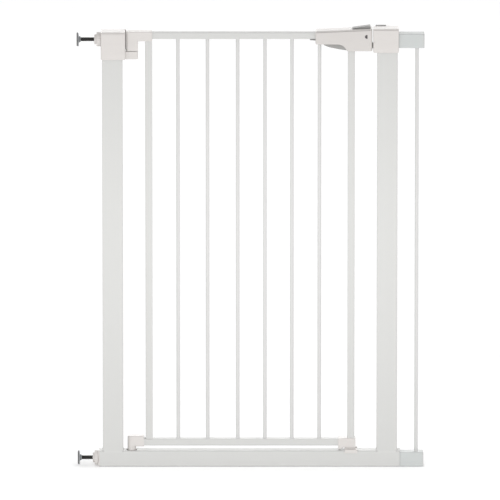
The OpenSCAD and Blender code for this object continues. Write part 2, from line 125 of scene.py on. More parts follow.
# %% [markdown]
# ## Light
# White on white needs light that still has a direction. The studio around the gate is a pale
# dome, twice as bright along its horizon as overhead, as a room with lit white walls is. Flat
# tops mirror that bright band and turn white, while the rounded edges between a top and a
# front look up at the dimmer ceiling and draw a thin grey line. A weak strip close in front,
# at half height, lets the tubes fade a little towards both ends. A wide wall of light behind
# the gate shows only in reflections, where it brightens whatever faces up at a low angle.
# Neither panel is seen by the camera.

# %% World and panels
scene.view_settings.view_transform = "Standard"
HORIZON, ZENITH = 1.40, 0.72
world = bpy.data.worlds.new("studio")
world.use_nodes = True
dome = world.node_tree
direction = add(dome, "ShaderNodeTexCoord").outputs["Generated"]
height = add(dome, "ShaderNodeSeparateXYZ", {"Vector": direction}).outputs["Z"]
fade = add(dome, "ShaderNodeMapRange", {"Value": height}, {"To Min": HORIZON, "To Max": ZENITH},
           interpolation_type="SMOOTHSTEP")
background = dome.nodes["Background"]
background.inputs["Color"].default_value = (1.0, 1.0, 1.0, 1)
dome.links.new(fade.outputs["Result"], background.inputs["Strength"])
scene.world = world


def panel(name, place, aim, width, height, watts):
    light = bpy.data.lights.new(name, "AREA")
    light.shape = "RECTANGLE"
    light.size, light.size_y = width, height
    light.energy = watts
    lamp = bpy.data.objects.new(name, light)
    lamp.location = place
    lamp.rotation_euler = (Vector(aim) - Vector(place)).to_track_quat("-Z", "Y").to_euler()
    lamp.visible_camera = False
    lamp.visible_glossy = False
    scene.collection.objects.link(lamp)
    return lamp


panel("front_strip", (0, -0.80, 0.60), (0, 0, 0.60), 1.8, 0.12, 3.6)
back_wall = panel("back_wall", (0, 4.5, 1.55), (0, 0, 0.7), 6.0, 2.3, 118)
back_wall.visible_glossy = True
back_wall.visible_diffuse = False
print("dome from", HORIZON, "down to", ZENITH)

# %% [markdown]
# ## Powder-coated steel
# The tubes are mild steel, sprayed with dry polyester powder and baked. The coat flows
# into a skin with a faint orange-peel ripple, some 2 to 4 mm across, and it is satin, not
# glossy. The ripple only shows in highlights, so it is drawn as a shallow bump at 5 mm, a
# little coarser than the real one. Coats also vary slightly in thickness, which the eye reads
# as a slow drift in tone. Sharp convex edges get a painted highlight, a slightly lighter colour.
# The slim bars get a lighter copy of the frame's coat, a painted lightening that offsets the
# darker shading of the round bars. The extension, from another batch, gets a greyer coat.


# %% Powder coat
def powder_coat(name, colour, edge, roughness):
    material, tree = new_material(name)
    place = add(tree, "ShaderNodeTexCoord").outputs["Object"]
    drift = add(tree, "ShaderNodeTexNoise", {"Vector": place}, {"Scale": 5.0, "Detail": 3.0})
    tone = add(tree, "ShaderNodeMapRange", {"Value": drift.outputs["Fac"]},
               {"From Min": 0.3, "From Max": 0.7, "To Min": 0.0, "To Max": 1.0})
    body = add(tree, "ShaderNodeMix", {"Factor": tone.outputs["Result"]}, data_type="RGBA")
    body.inputs["A"].default_value = linear(colour)
    body.inputs["B"].default_value = tuple(c * 0.975 for c in linear(colour)[:3]) + (1,)
    # Sharp convex edges, found by pointiness, are mixed toward the lighter edge colour: a painted
    # highlight.
    edges = add(tree, "ShaderNodeNewGeometry").outputs["Pointiness"]
    sharp = add(tree, "ShaderNodeMapRange", {"Value": edges}, {"From Min": 0.52, "From Max": 0.60})
    edge_highlighted = add(tree, "ShaderNodeMix", {"Factor": sharp.outputs["Result"], "A": body.outputs["Result"]},
               data_type="RGBA")
    edge_highlighted.inputs["B"].default_value = linear(edge)
    peel = add(tree, "ShaderNodeTexNoise", {"Vector": place},
               {"Scale": 200.0, "Detail": 2.0, "Roughness": 0.4})
    bump = add(tree, "ShaderNodeBump", {"Height": peel.outputs["Fac"]},
               {"Strength": 0.25, "Distance": 0.0004})
    sheen = add(tree, "ShaderNodeMapRange", {"Value": peel.outputs["Fac"]},
                {"To Min": roughness - 0.05, "To Max": roughness + 0.05})
    shader = add(tree, "ShaderNodeBsdfPrincipled",
                 {"Base Color": edge_highlighted.outputs["Result"], "Roughness": sheen.outputs["Result"],
                  "Normal": bump.outputs["Normal"]},
                 {"IOR": 1.5})
    add(tree, "ShaderNodeOutputMaterial", {"Surface": shader.outputs["BSDF"]})
    return material


frame_coat = powder_coat("powder_coated_steel_white", "#BEBEBC", "#C5C5C3", 0.46)
# The bars' coat is the frame's white made lighter, a painted lightening that offsets the darker shading the
# round bars take.
bar_coat_lightened = powder_coat("powder_coated_bar_white_lightened", "#C6C6C5", "#CBCBCA", 0.46)
extension_coat = powder_coat("powder_coated_steel_light_grey", "#B7BAB9", "#BEC1C0", 0.48)
print("coats:", frame_coat.name, extension_coat.name)

# %% [markdown]
# ## Moulded plastics
# The caps, the handle and the nuts are ABS, moulded in a tool with a fine spark-eroded
# grain of about 0.1 mm. It scatters the highlight more than the coat does, and the resin is a
# touch warmer than the paint. The grain is drawn at 1.2 mm so that it shows at all. The
# handle is a shade darker than the caps. The trigger, the sliders and the hinge cup are grey
# glass-filled nylon, with a coarser, drier skin and pale flow streaks.


# %% Moulded ABS and nylon
def moulded(name, colour, shade, grain_mm, roughness, streaks):
    material, tree = new_material(name)
    place = add(tree, "ShaderNodeTexCoord").outputs["Object"]
    stretch = add(tree, "ShaderNodeMapping", {"Vector": place})
    stretch.inputs["Scale"].default_value = (12.0, 30.0, 60.0)
    flow = add(tree, "ShaderNodeTexNoise", {"Vector": stretch.outputs["Vector"]},
               {"Scale": 1.0, "Detail": 4.0, "Distortion": 0.6})
    amount = add(tree, "ShaderNodeMapRange", {"Value": flow.outputs["Fac"]},
                 {"From Min": 0.35, "From Max": 0.7, "To Max": streaks})
    body = add(tree, "ShaderNodeMix", {"Factor": amount.outputs["Result"]}, data_type="RGBA")
    body.inputs["A"].default_value = linear(colour)
    body.inputs["B"].default_value = linear(shade)
    grain = add(tree, "ShaderNodeTexNoise", {"Vector": place}, {"Scale": 1000.0 / grain_mm, "Detail": 2.0})
    bump = add(tree, "ShaderNodeBump", {"Height": grain.outputs["Fac"]},
               {"Strength": 0.35, "Distance": 0.00012})
    sheen = add(tree, "ShaderNodeMapRange", {"Value": grain.outputs["Fac"]},
                {"To Min": roughness - 0.06, "To Max": roughness + 0.06})
    shader = add(tree, "ShaderNodeBsdfPrincipled",
                 {"Base Color": body.outputs["Result"], "Roughness": sheen.outputs["Result"],
                  "Normal": bump.outputs["Normal"]},
                 {"IOR": 1.53})
    add(tree, "ShaderNodeOutputMaterial", {"Surface": shader.outputs["BSDF"]})
    return material


white_abs = moulded("moulded_abs_warm_white", "#CBC7C4", "#C7C3C0", 1.2, 0.40, 0.6)
handle_abs = moulded("moulded_abs_handle_white", "#C5C1BE", "#C1BDBA", 1.2, 0.40, 0.6)
grey_abs = moulded("moulded_abs_light_grey", "#BFC0BF", "#B9BAB9", 1.2, 0.46, 0.6)
grey_nylon = moulded("glass_filled_nylon_grey", "#8E8D8B", "#9C9B99", 1.6, 0.52, 0.8)
dark_insert = moulded("moulded_acetal_dark", "#4A4647", "#3A3738", 1.2, 0.32, 0.5)
print("plastics:", white_abs.name, grey_abs.name, grey_nylon.name, dark_insert.name)

# %% [markdown]
# ## Bare metal and rubber
# The discs, pins and screws are steel with a thin zinc plate, blue-white and slightly
# cloudy. The spindles are rolled thread with a black oxide, dark with bright crests where the
# nuts rub. The wall pads are black nitrile rubber, dull and lightly dusty.


# %% Metals and rubber
def plated(name, colour, cloud, roughness, metallic, size_mm, crest="#C9CBCD"):
    material, tree = new_material(name)
    place = add(tree, "ShaderNodeTexCoord").outputs["Object"]
    spangle = add(tree, "ShaderNodeTexVoronoi", {"Vector": place}, {"Scale": 1000.0 / size_mm})
    blotch = add(tree, "ShaderNodeTexNoise", {"Vector": place}, {"Scale": 300.0, "Detail": 5.0})
    tone = add(tree, "ShaderNodeMix", {"Factor": blotch.outputs["Fac"]}, data_type="RGBA")
    tone.inputs["A"].default_value = linear(colour)
    tone.inputs["B"].default_value = linear(cloud)
    edges = add(tree, "ShaderNodeNewGeometry").outputs["Pointiness"]
    rub = add(tree, "ShaderNodeMapRange", {"Value": edges},
              {"From Min": 0.50, "From Max": 0.58, "To Max": 0.5})
    bright = add(tree, "ShaderNodeMix", {"Factor": rub.outputs["Result"], "A": tone.outputs["Result"]},
                 data_type="RGBA")
    bright.inputs["B"].default_value = linear(crest)
    sheen = add(tree, "ShaderNodeMapRange", {"Value": spangle.outputs["Distance"]},
                {"To Min": roughness - 0.08, "To Max": roughness + 0.10})
    bump = add(tree, "ShaderNodeBump", {"Height": blotch.outputs["Fac"]},
               {"Strength": 0.15, "Distance": 0.0001})
    shader = add(tree, "ShaderNodeBsdfPrincipled",
                 {"Base Color": bright.outputs["Result"], "Roughness": sheen.outputs["Result"],
                  "Normal": bump.outputs["Normal"]},
                 {"Metallic": metallic})
    add(tree, "ShaderNodeOutputMaterial", {"Surface": shader.outputs["BSDF"]})
    return material


zinc_steel = plated("zinc_plated_steel", "#AFB2B5", "#9DA1A5", 0.34, 1.0, 3.0)
black_steel = plated("black_oxide_rolled_thread", "#2B2928", "#201F1E", 0.5, 0.4, 2.0, "#5E5B58")
disc_steel = plated("pressed_zinc_steel", "#8F9193", "#7F8184", 0.36, 1.0, 4.0)
pad_rubber = moulded("nitrile_rubber_black", "#4A4948", "#5A5958", 1.5, 0.70, 0.5)

# %% [markdown]
# ## Mesh helpers
# Nearly every piece of this gate is an outline pushed along one axis: tube, cap, shell or
# boot. What makes it look moulded or drawn is the rounding of its edges. So one helper takes an
# outline in millimetres and lofts it through a few inset rings at each end, which rounds the
# end edges exactly, with no modifier. A second one turns a profile round an axis. A third one
# joins or cuts solids.

# %% Outlines
TURN = {
    "x": lambda u, v, w: (w, u, v),
    "y": lambda u, v, w: (u, w, v),
    "z": lambda u, v, w: (u, v, w)}


def corners(node):
    lo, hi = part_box(node)
    return Vector(lo) * 1000, Vector(hi) * 1000


def rect(u0, v0, u1, v1, radius=0.0):
    return [(u0, v0, radius), (u1, v0, radius), (u1, v1, radius), (u0, v1, radius)]


def arc(cu, cv, radius, start, end, steps=8):
    angles = [math.radians(start + (end - start) * i / steps) for i in range(steps + 1)]
    return [(cu + radius * math.cos(t), cv + radius * math.sin(t), 0.0) for t in angles]


def trace(shape, depth=0.0, steps=5):
    points = []
    for before, here, after in zip(shape[-1:] + shape[:-1], shape, shape[1:] + shape[:1]):
        into = Vector((here[0] - before[0], here[1] - before[1])).normalized()
        out = Vector((after[0] - here[0], after[1] - here[1])).normalized()
        side_in, side_out = Vector((-into.y, into.x)), Vector((-out.y, out.x))
        bisector = (side_in + side_out) / (1 + side_in.dot(side_out))
        corner = Vector(here[:2]) + bisector * depth
        if here[2] == 0:
            points.append(tuple(corner))
            continue
        bend = math.atan2(into.cross(out), into.dot(out))
        sign = 1 if bend > 0 else -1
        radius = max(here[2] - sign * depth, 0.005)
        centre = corner + bisector * sign * radius
        start = math.atan2(-sign * side_in.y, -sign * side_in.x)
        points += [(centre.x + radius * math.cos(start + bend * i / steps),
                    centre.y + radius * math.sin(start + bend * i / steps)) for i in range(steps + 1)]
    return points


print("a 10 mm square with 2 mm corners has", len(trace(rect(0, 0, 10, 10, 2))), "points")


# %% Solids
def loft(rings, close=False, caps=True):
    mesh = bmesh.new()
    rows = [[mesh.verts.new(p) for p in ring] for ring in rings]
    pairs = list(zip(rows, rows[1:])) + ([(rows[-1], rows[0])] if close else [])
    for low, high in pairs:
        for i in range(len(low)):
            j = (i + 1) % len(low)
            mesh.faces.new((low[i], low[j], high[j], high[i]))
    if caps and not close:
        mesh.faces.new(reversed(rows[0]))
        mesh.faces.new(rows[-1])
    bmesh.ops.remove_doubles(mesh, verts=mesh.verts, dist=0.012)
    bmesh.ops.recalc_face_normals(mesh, faces=mesh.faces)
    return mesh


def prism(shape, axis, low, high, round_low=0.0, round_high=0.0, steps=5):
    layers = []
    for radius, end, sign in ((round_low, low, 1), (round_high, high, -1)):
        bend = []
        for i in range(steps + 1 if radius > 0 else 1):
            t = math.pi / 2 * i / steps if radius > 0 else 0
            bend.append((radius * (1 - math.sin(t)), end + sign * radius * (1 - math.cos(t))))
        layers += bend if sign > 0 else bend[::-1]
    turn = TURN[axis]
    return loft([[turn(u, v, w) for u, v in trace(shape, depth)] for depth, w in layers])


def tube(shape, wall, axis, low, high, edge=0.4):
    turn = TURN[axis]
    layers = [(wall, low), (edge, low), (0, low + edge), (0, high - edge), (edge, high), (wall, high)]
    return loft([[turn(u, v, w) for u, v in trace(shape, depth)] for depth, w in layers], close=True)


def turned(profile, axis, centre, segments=40):
    turn = TURN[axis]
    rings = []
    for w, radius in profile:
        radius = max(radius, 1e-4)
        rings.append([turn(centre[0] + radius * math.cos(2 * math.pi * i / segments),
                           centre[1] + radius * math.sin(2 * math.pi * i / segments), w)
                      for i in range(segments)])
    return loft(rings)


def block(low, high):
    u, v, w = low
    x, y, z = high
    return loft([[(u, v, w), (x, v, w), (x, y, w), (u, y, w)],
                 [(u, v, z), (x, v, z), (x, y, z), (u, y, z)]])


def combine(first, others, how):
    for other in others:
        holders = []
        for part in (first, other):
            data = bpy.data.meshes.new("work")
            part.to_mesh(data)
            part.free()
            holder = bpy.data.objects.new("work", data)
            scene.collection.objects.link(holder)
            holders.append(holder)
        modifier = holders[0].modifiers.new("join", "BOOLEAN")
        modifier.operation, modifier.object, modifier.solver = how, holders[1], "EXACT"
        graph = bpy.context.evaluated_depsgraph_get()
        first = bmesh.new()
        first.from_mesh(holders[0].evaluated_get(graph).to_mesh())
        for holder in holders:
            data = holder.data
            bpy.data.objects.remove(holder)
            bpy.data.meshes.remove(data)
    return first


def cut(solid, *tools):
    return combine(solid, tools, "DIFFERENCE")


def join(solid, *others):
    return combine(solid, others, "UNION")


# %% Placing a finished piece
def place(name, mesh, body, finish, stands_for, crease=38):
    bmesh.ops.scale(mesh, vec=(0.001, 0.001, 0.001), verts=mesh.verts)
    data = bpy.data.meshes.new(name)
    mesh.to_mesh(data)
    mesh.free()
    data.materials.append(finish)
    data.shade_smooth()
    data.set_sharp_from_angle(angle=math.radians(crease))
    piece = bpy.data.objects.new(name, data)
    scene.collection.objects.link(piece)
    piece.modifiers.new("even_normals", "WEIGHTED_NORMAL").keep_sharp = True
    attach(piece, body)
    if stands_for:
        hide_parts(*stands_for)
    return piece


# %% [markdown]
# ## Frame tubes
# The frame is a U of rectangular tube: a flat base rail that is stepped over, and two wide
# posts. Drawn tube has small rounded corners and a thin wall that shows at cut ends. Each
# tube is one closed loft of four rings, so its hollow is real. Where a post stands on the rail
# it is welded at the sides, and the front is filled and ground flush, so no joint line shows.

# %% Base rail and posts
def box_tube(name, node, axis, radius, wall, finish, body, tools=()):
    lo, hi = corners(node)
    u, v, w = {"x": (1, 2, 0), "y": (0, 2, 1), "z": (0, 1, 2)}[axis]
    mesh = tube(rect(lo[u], lo[v], hi[u], hi[v], radius), wall, axis, lo[w], hi[w])
    if tools:
        mesh = cut(mesh, *tools)
    return place(name, mesh, body, finish, [node])


hinge_x = (corners("lower_hinge_pin")[0].x + corners("lower_hinge_pin")[1].x) / 2
rail_low, rail_high = corners("base_rail")
cup_hole = turned([(30, 13.2), (45, 13.2)], "z", (hinge_x, 0))
box_tube("base_rail_tube", "base_rail", "x", 4.0, 1.2, frame_coat, "frame", [cup_hole])
box_tube("left_post_tube", "left_post", "z", 3.5, 1.2, frame_coat, "frame")
box_tube("right_post_tube", "right_post", "z", 3.5, 1.2, frame_coat, "frame")
print("base rail:", [round(c, 1) for c in rail_high - rail_low], "mm")


# %% Weld beads at the feet of the posts
def bead(name, post, side):
    lo, hi = corners(post)
    x = lo.x if side < 0 else hi.x
    rings = []
    for i in range(41):
        y = -12.5 + 25 * i / 40
        swell = 1.5 + 0.18 * math.sin(i * 1.7) + 0.1 * math.sin(i * 4.3)
        rings.append([(x + side * swell * math.cos(a) * 0.9, y, rail_high.z + swell * math.sin(a) * 0.9)
                      for a in (math.radians(d) for d in range(-30, 331, 45))])
    place(name, loft(rings), "frame", frame_coat, [])


def ground_corner(name, post):
    lo, hi = corners(post)
    proud = 0.04
    outline = rect(lo.x + 3.0, rail_high.z - 4.2, hi.x - 3.0, rail_high.z + 0.6)
    place(name, prism(outline, "y", lo.y - proud, lo.y + 4), "frame", frame_coat, [])


ground_corner("left_post_ground_corner", "left_post")
ground_corner("right_post_ground_corner", "right_post")
bead("left_post_weld_outer", "left_post", -1)
bead("left_post_weld_inner", "left_post", 1)
bead("right_post_weld_inner", "right_post", -1)
bead("right_post_weld_outer", "right_post", 1)
print("post welds: 4")

# %% [markdown]
# ## Caps of the base rail
# A moulded plug closes each end of the rail. The left one is the guide of the lower
# spindle, so it has a round mouth. The right one is a thin flange that the extension butts
# against.

# %% Rail plugs
lo, hi = corners("base_plug_left")
flange = prism(rect(-15, 0, 15, 40, 4.5), "x", lo.x, rail_low.x, 2.5, 0)
flange = cut(flange, turned([(lo.x - 1, 5.1), (rail_low.x + 1, 5.1)], "x", (0, 20), 32))
place("base_plug_left_flange", flange, "frame", white_abs, ["base_plug_left"])
lo, hi = corners("base_plug_right")
flange = prism(rect(-15, 0, 15, 40, 4), "x", rail_high.x, hi.x, 0, 0.4)
place("base_plug_right_flange", flange, "frame", grey_abs, ["base_plug_right"])
print("plug flanges: 2")

# %% [markdown]
# ## Hinge cap on the left post
# One moulding does three jobs: it closes the post, guides the upper spindle and reaches
# out with a short arm that holds the upper hinge pin. Seen from the front it is an L, so it is
# the outline of a block with rounded edges, joined to an arm. A small fillet where the arm
# leaves the block stops it from cracking there. A fine groove below the top is the line of
# its lid.


# %% Cutters that both caps share
def post_socket(post, cap_bottom):
    lo, hi = corners(post)
    gap, half_depth = 0.1, 15.1
    return block((lo.x - gap, -half_depth, cap_bottom - 5), (hi.x + gap, half_depth, hi.z))


def screw_seat(post, z, rear):
    lo, hi = corners(post)
    head_depth, radius = 2.4, 3.55
    return turned([(rear - head_depth, radius), (rear + 1, radius)], "y", ((lo.x + hi.x) / 2, z), 32)


# %% Hinge cap
lo, hi = corners("hinge_housing")
post_right = corners("left_post")[1].x
block_right = post_right + 6.5
cap = prism(rect(lo.x, lo.z, block_right, hi.z, 2.5), "y", lo.y, hi.y, 3.2, 3.2, 5)
arm_top = 1047.5
arm = prism(rect(block_right - 8, -11.4, hi.x, 11.4, 3.5), "z", lo.z, arm_top, 1.5, 1.2)
web = [(block_right - 2, arm_top - 2, 0), (block_right + 3, arm_top - 2, 0)]
web += arc(block_right + 3, arm_top + 3, 3, 270, 180, 6)
web += [(block_right - 2, arm_top + 3, 0)]
fillet = prism(web, "y", -11.2, 11.2)
cheek = prism(rect(post_right, 12.9, hinge_x - 12.0, hi.y, 1.0), "z", arm_top - 4, hi.z, 0, 2.4)
cap = join(cap, arm, fillet, cheek)
seam = block((block_right - 10, lo.y - 1, arm_top - 0.1), (block_right + 1, lo.y + 0.5, arm_top + 0.45))
rod_z, rod_hole, pin_hole = 1076, 5.2, 4.05
rod_mouth = turned([(lo.x - 1, rod_hole), (lo.x + 5, rod_hole)], "x", (0, rod_z), 32)
pin_mouth = turned([(lo.z - 2, pin_hole), (arm_top + 2, pin_hole)], "z", (hinge_x, 0), 32)
lid_line = block((lo.x - 1, lo.y - 1, hi.z - 3.6), (block_right + 1, lo.y + 1.3, hi.z - 2.5))
cap = cut(cap, post_socket("left_post", lo.z), seam, rod_mouth, pin_mouth,
          screw_seat("left_post", 1038, hi.y), lid_line)
place("hinge_cap", cap, "frame", white_abs, ["hinge_housing"])
print("hinge cap:", [round(c, 1) for c in hi - lo], "mm")

# %% [markdown]
# ## Latch cap on the right post
# The cap that takes the bolt has a pocket in its left face, a small nick beside it that
# lines up with the handle, and a track along its rear edge for the slider that stops the door
# from opening both ways.

# %% Latch cap and stop slider
lo, hi = corners("latch_housing")
cap = prism(rect(lo.x, lo.z, hi.x, hi.z, 2.2), "y", lo.y, hi.y, 3.2, 3.2, 5)
pocket = block((lo.x - 1, -6.05, 1051.9), (305.7, 6.05, 1075.7))
track_end = 330.3
track = block((lo.x - 1, 17.2, 1091.8), (track_end, hi.y + 1, hi.z + 1))
roof_track = block((lo.x - 1, 13.2, 1103.8), (track_end, hi.y + 1, hi.z + 1.1))
nick = prism([(lo.x - 1, 1069, 0), (304.6, 1075.2, 0), (304.6, 1076.4, 0), (lo.x - 1, 1072.4, 0)],
             "y", lo.y - 1, lo.y + 0.9)
lid_line = block((lo.x - 1, lo.y - 1, hi.z - 3.8), (hi.x + 1, lo.y + 1.4, hi.z - 2.5))
cap = cut(cap, post_socket("right_post", lo.z), pocket, track, roof_track, nick,
          screw_seat("right_post", 1062, hi.y), lid_line)
place("latch_cap", cap, "frame", white_abs, ["latch_housing"])

lo, hi = corners("stop_slider")
finger = prism(rect(lo.x, 1092, hi.x, 1104.6, 1.0), "y", 17.4, hi.y, 0.3, 0.6)
tab = prism(rect(304, 1103, hi.x, hi.z, 1.4), "y", 13.5, hi.y, 0.8, 0.8)
ridge_step, ridge_width = 4, 1.2
ridges = [block((308 + ridge_step * i, 12, hi.z - 0.6),
                (308 + ridge_width + ridge_step * i, hi.y + 1, hi.z + 1)) for i in range(5)]
place("stop_slider_tab", cut(join(finger, tab), *ridges), "stop_slider", grey_nylon, ["stop_slider"])
print("latch cap and stop slider done")

# %% [markdown]
# ## Keeper and hinge cup on the base rail
# The keeper is a saddle pressed over the rail. Its front and rear lips stand proud of a
# shallow seat, and the door's foot drops between them, so the door has to be lifted before it
# swings. On the hinge side a cup in the rail's top takes the elbow's round foot.

# %% Keeper and cup
lo, hi = corners("door_keeper")
under = [(-16.6, 34.8, 0.3), (-15.05, 34.8, 0.2), (-15.05, 40.05, 4.05)]
over = [(16.6, 43.5, 1.4), (11.6, 43.5, 0.8), (10.0, 41.3, 0.8)]
saddle = under + [(-u, v, r) for u, v, r in reversed(under)]
saddle += over + [(-u, v, r) for u, v, r in reversed(over)]
saddle = prism(saddle, "x", lo.x, hi.x, 0.5, 0.5, 2)
place("door_keeper_saddle", saddle, "frame", white_abs, ["door_keeper"], 30)
outside = [(1.3, 12.9), (38.6, 13.0), (39.2, 12.6), (39.2, 11.9)]
inside = [(38.6, 11.3), (34.2, 11.3), (34, 11.0), (34, 5.1), (20, 5.1)]
ring = turned(outside + inside, "z", (hinge_x, 0), 48)
place("lower_hinge_cup_ring", ring, "frame", grey_nylon, ["lower_hinge_cup"])
print("keeper is", round(hi.x - lo.x, 1), "mm wide")

# %% [markdown]
# ## Door tubes and bars
# The door is a rectangle of smaller tube with six round bars between its rails. Every bar
# is welded at both ends, and the powder coat softens that weld to a small collar.

# %% Door frame
lo, hi = corners("door_right_stile")
bolt_slot = block((lo.x - 5, -4.2, 1053.4), (hi.x + 5, 4.2, hi.z + 1))
for node, axis, tools in (("door_top_rail", "x", []), ("door_bottom_rail", "x", []),
                          ("door_left_stile", "z", []), ("door_right_stile", "z", [bolt_slot])):
    box_tube(node + "_tube", node, axis, 2.6, 1.2, frame_coat, "door", tools)
print("door tubes: 4")


# %% Bars with welded ends
def bar(name, node, body):
    lo, hi = corners(node)
    radius = (hi.x - lo.x) / 2
    collar = [(0, radius + 1.2), (0.4, radius + 1.05), (1.1, radius + 0.45), (2.0, radius + 0.1),
              (3.0, radius)]
    profile = [(lo.z + h, r) for h, r in collar] + [(hi.z - h, r) for h, r in reversed(collar)]
    place(name, turned(profile, "z", ((lo.x + hi.x) / 2, 0), 28), body, bar_coat_lightened, [node])


for i in range(1, 7):
    bar(f"door_bar_{i}_round", f"door_bar_{i}", "door")
bar("extension_bar_round", "ext_bar", "frame")
print("bars: 7")

# %% [markdown]
# ## Door fittings
# The hinge block is square, with corners rounded just enough for it to swing past the post's
# cap, and it grows into a sleeve over the end of the top rail. The elbow below has a round leg that
# stands in the cup. The corner boot opposite closes the bottom corner and carries the foot.

# %% Hinge block
lo, hi = corners("door_hinge_block")
half_depth, pin_corner, rail_corner, block_end = hi.y, 5.1, 2.5, -274
plan = [(lo.x, half_depth, pin_corner), (lo.x, -half_depth, pin_corner),
        (block_end, -half_depth, rail_corner), (block_end, half_depth, rail_corner)]
body = prism(plan, "z", lo.z, hi.z, 1.2, 2.4)
sleeve = prism(rect(-half_depth, 1073, half_depth, hi.z, 2.4), "x", block_end - 8, hi.x, 0, 1.0)
place("door_hinge_block_sleeve", join(body, sleeve), "door", white_abs, ["door_hinge_block"])
print("hinge block:", round(2 * half_depth, 1), "mm deep")

# %% Elbow and corner boot
lo, hi = corners("lower_elbow")
foot_round = [(lo.z, 7.0), (lo.z + 0.5, 8.6), (lo.z + 2.0, 10.0), (lo.z + 4.5, 10.5)]
head_round = [(hi.z - 3.5, 10.5), (hi.z - 1.6, 9.9), (hi.z - 0.4, 8.2), (hi.z, 6.0)]
leg = turned(foot_round + head_round, "z", (hinge_x, 0), 48)
leg_side = prism(rect(-10.5, 50, 10.5, hi.z, 3.2), "x", hinge_x, hi.x, 0, 1.2)
place("lower_elbow_leg", join(leg, leg_side), "door", white_abs, ["lower_elbow"])

lo, hi = corners("corner_block")
boot = [(229.8, 41.7, 0.6), (hi.x, 41.7, 1.2), (hi.x, hi.z, 2.5),
        (lo.x, hi.z, 2.5), (lo.x, lo.z, 2.5), (233.6, 49.8, 1.5)]
boot = prism(boot, "y", lo.y, hi.y, 2.0, 2.0)
foot_front = block((225, -12, 41), (260, -9.2, 48.5))
foot_rear = block((225, 9.2, 41), (260, 12, 48.5))
place("corner_boot", cut(boot, foot_front, foot_rear), "door", white_abs, ["corner_block"])
print("fittings: 3")

# %% [markdown]
# ## Handle
# The handle is two half shells that close round the rail and the stile, with the joint
# line along the middle. From the side it swells from a slim grip at the left to a deep body
# at the latch, with an arch below for the fingers. A real one has roundings of about 4 mm, so
# each half is the outline with a wide rounding on its outer edge and a hair of chamfer at the
# joint. The front half carries the same lid line as the caps and a small window.

# %% Handle shells
lo, hi = corners("handle_front")
top_left, top_right = 1099.0, 1105.0


def top_of_handle(x):
    return top_left + (top_right - top_left) * (x - 157.6) / 138.1


def half_moon(radius):
    return arc(282.6, 1086, radius, 70, 290, 16)


grip = [(hi.x, lo.z, 2.5), (hi.x, top_right, 2.5), (lo.x, top_left, 3.0), (lo.x, 1066, 3.0)]
grip += arc(211, 1042, 24, 90, 26, 12) + [(234.2, lo.z, 1.2)]


def hollows():
    trigger_way = [(161, 1068.2, 0), (174.6, 1068.2, 0), (174.6, 1040, 0),
                   (236.5, 1040, 0), (236.5, 1077.4, 0), (161, 1077.4, 0)]
    tail_way = block((lo.x - 2, -8.4, 1070.6), (162, 8.4, 1077.4))
    rail_way = block((lo.x - 2, -9.05, 1077.5), (253.6, 9.05, 1095.05))
    stile_way = block((236.2, -9.05, 1040), (253.6, 9.05, 1080))
    bolt_way = block((250, -4.2, 1053.6), (300, 4.2, 1068.4))
    slider_way = block((252.6, -4.3, 1094), (275.4, 4.3, 1112))
    catch_way = block((248.4, -7.3, 1096.6), (279.7, 7.3, 1101.1))
    spring_way = block((279, -2.7, 1096.6), (292.4, 2.7, 1101.1))
    return [prism(trigger_way, "y", -11.4, 11.4), tail_way, rail_way, stile_way, bolt_way,
            slider_way, catch_way, spring_way]


outer_round, joint_chamfer, half_gap = 4.2, 0.25, 0.12
front = cut(prism(grip, "y", lo.y, -half_gap, outer_round, joint_chamfer, 6), *hollows())
lid_line = prism([(lo.x - 1, top_left - 3.6, 0), (hi.x + 1, top_right - 3.6, 0),
                  (hi.x + 1, top_right - 2.4, 0), (lo.x - 1, top_left - 2.4, 0)], "y", lo.y - 1, lo.y + 1.9)
front = cut(front, prism(half_moon(4.8), "y", lo.y - 1, lo.y + 1.6), lid_line)
place("handle_front_shell", front, "door", handle_abs, ["handle_front"])

rear = cut(prism(grip, "y", half_gap, -lo.y, joint_chamfer, outer_round, 6), *hollows())
screw_spots = ((225, 1098.4), (288, 1073.8), (262, 1073.8))
rear = cut(rear, *[turned([(14.6, 2.55), (18, 2.55)], "y", spot, 24) for spot in screw_spots])
place("handle_rear_shell", rear, "door", handle_abs, ["handle_rear"])

window = prism(half_moon(4.7), "y", lo.y + 0.3, lo.y + 1.6, 0.3)
place("lock_indicator_window", window, "door", dark_insert, ["lock_indicator"])
print("handle:", round(hi.x - lo.x, 1), "mm long")

# %% [markdown]
# ## Trigger and thumb slider
# The two controls are grey so that they read as the parts to press. The trigger is a
# hollow lever whose lower edge follows the fingers. The thumb slider is a low wedge.

# %% Trigger and slider
lo, hi = corners("trigger")
lower_edge = [(164.6, 1069.0, 3.0), (175.0, 1067.6, 1.0), (179, 1062.8, 4.0), (190, 1058.4, 20),
              (215, 1053.0, 30), (232.9, 1050.4, 0.8)]
upper_edge = [(232.9, 1066.6, 0.5), (212, 1070.9, 20), (190, 1073.4, 30), (164.6, 1076.0, 2.5)]
lever = prism(lower_edge + upper_edge, "y", lo.y, hi.y, 2.0, 2.0)
tail = [(144.2, 1075.5, 0.3), (168, 1073.1, 0), (168, 1075.9, 0), (164, 1077.1, 0.3), (144.2, 1077.1, 0.3)]
tail = prism(tail, "y", -7.9, 7.9, 0.3, 0.3, 2)
hollow = [(207, 1057.3, 0), (215, 1054.6, 0), (234, 1051.9, 0), (234, 1080, 0), (207, 1080, 0)]
hollow = prism(hollow, "y", -5, 5)
spring_gap = block((163, -5, 1066), (174.6, 5, 1079))
pocket = turned([(7.5, 5.0), (11.5, 5.0)], "y", (168, 1072.4), 32)
trigger = cut(join(lever, tail), hollow, spring_gap, pocket)
place("squeeze_trigger", trigger, "trigger", grey_nylon, ["trigger"])

